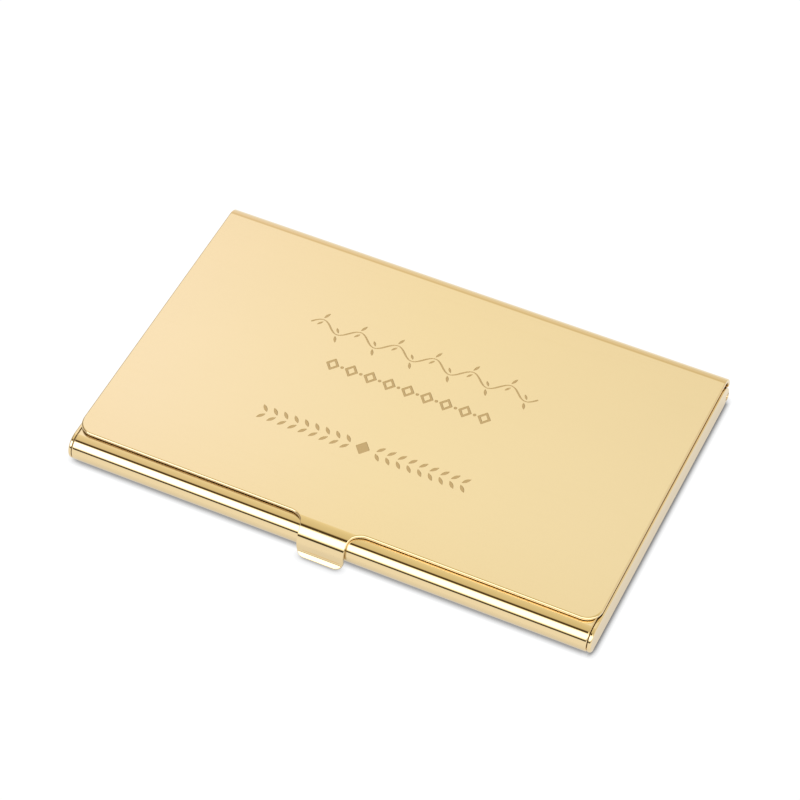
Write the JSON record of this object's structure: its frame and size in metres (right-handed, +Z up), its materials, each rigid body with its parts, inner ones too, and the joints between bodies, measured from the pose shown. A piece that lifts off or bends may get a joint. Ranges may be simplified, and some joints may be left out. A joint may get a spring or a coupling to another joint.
{
  "type": "business card case",
  "caption": "Slim hinged sheet-metal case for business cards, with a rolled front rail, a thumb tongue on the lid and a lifter plate inside.",
  "frame": {"origin": "middle of the underside of the closed case, on the surface that it lies on", "axes": "+X along the hinge, to the right as seen from the thumb lip; +Y from the thumb lip to the hinge; +Z up, out of the lid"},
  "size_m": [0.094, 0.0622, 0.006],
  "materials": {
    "polished_case": "mirror polished gold plate",
    "inner_brass": "satin gold plate",
    "hinge_rivet": "polished",
    "lifter_brass": "fine brushed gold plate",
    "spring_steel": "bright rolled spring steel"
  },
  "bodies": {
    "base": {"base_tray": "polished_case", "hinge_rivet_left": "hinge_rivet", "hinge_rivet_right": "hinge_rivet", "spacer_washer_left": "spring_steel", "spacer_washer_right": "spring_steel", "lift_spring": "spring_steel"},
    "lid": {"lid": "polished_case", "hinge_ear_left": "inner_brass", "hinge_ear_right": "inner_brass"},
    "lifter": {"card_lifter": "lifter_brass"}
  },
  "joints": [
    {"name": "lid_hinge", "type": "hinge", "parent": "base", "child": "lid", "pos_m": [0, 0.02954, 0.00175], "axis": [-1, 0, 0], "range_deg": [0, 100]},
    {"name": "lifter_tilt", "type": "hinge", "parent": "base", "child": "lifter", "pos_m": [0, 0.02954, 0.00175], "axis": [-1, 0, 0], "range_deg": [0, 12], "deforming": ["lift_spring"]}
  ],
  "couplings": [
    {"joint": "lifter_tilt", "follows": "lid_hinge", "ratio": 0.12}
  ]
}
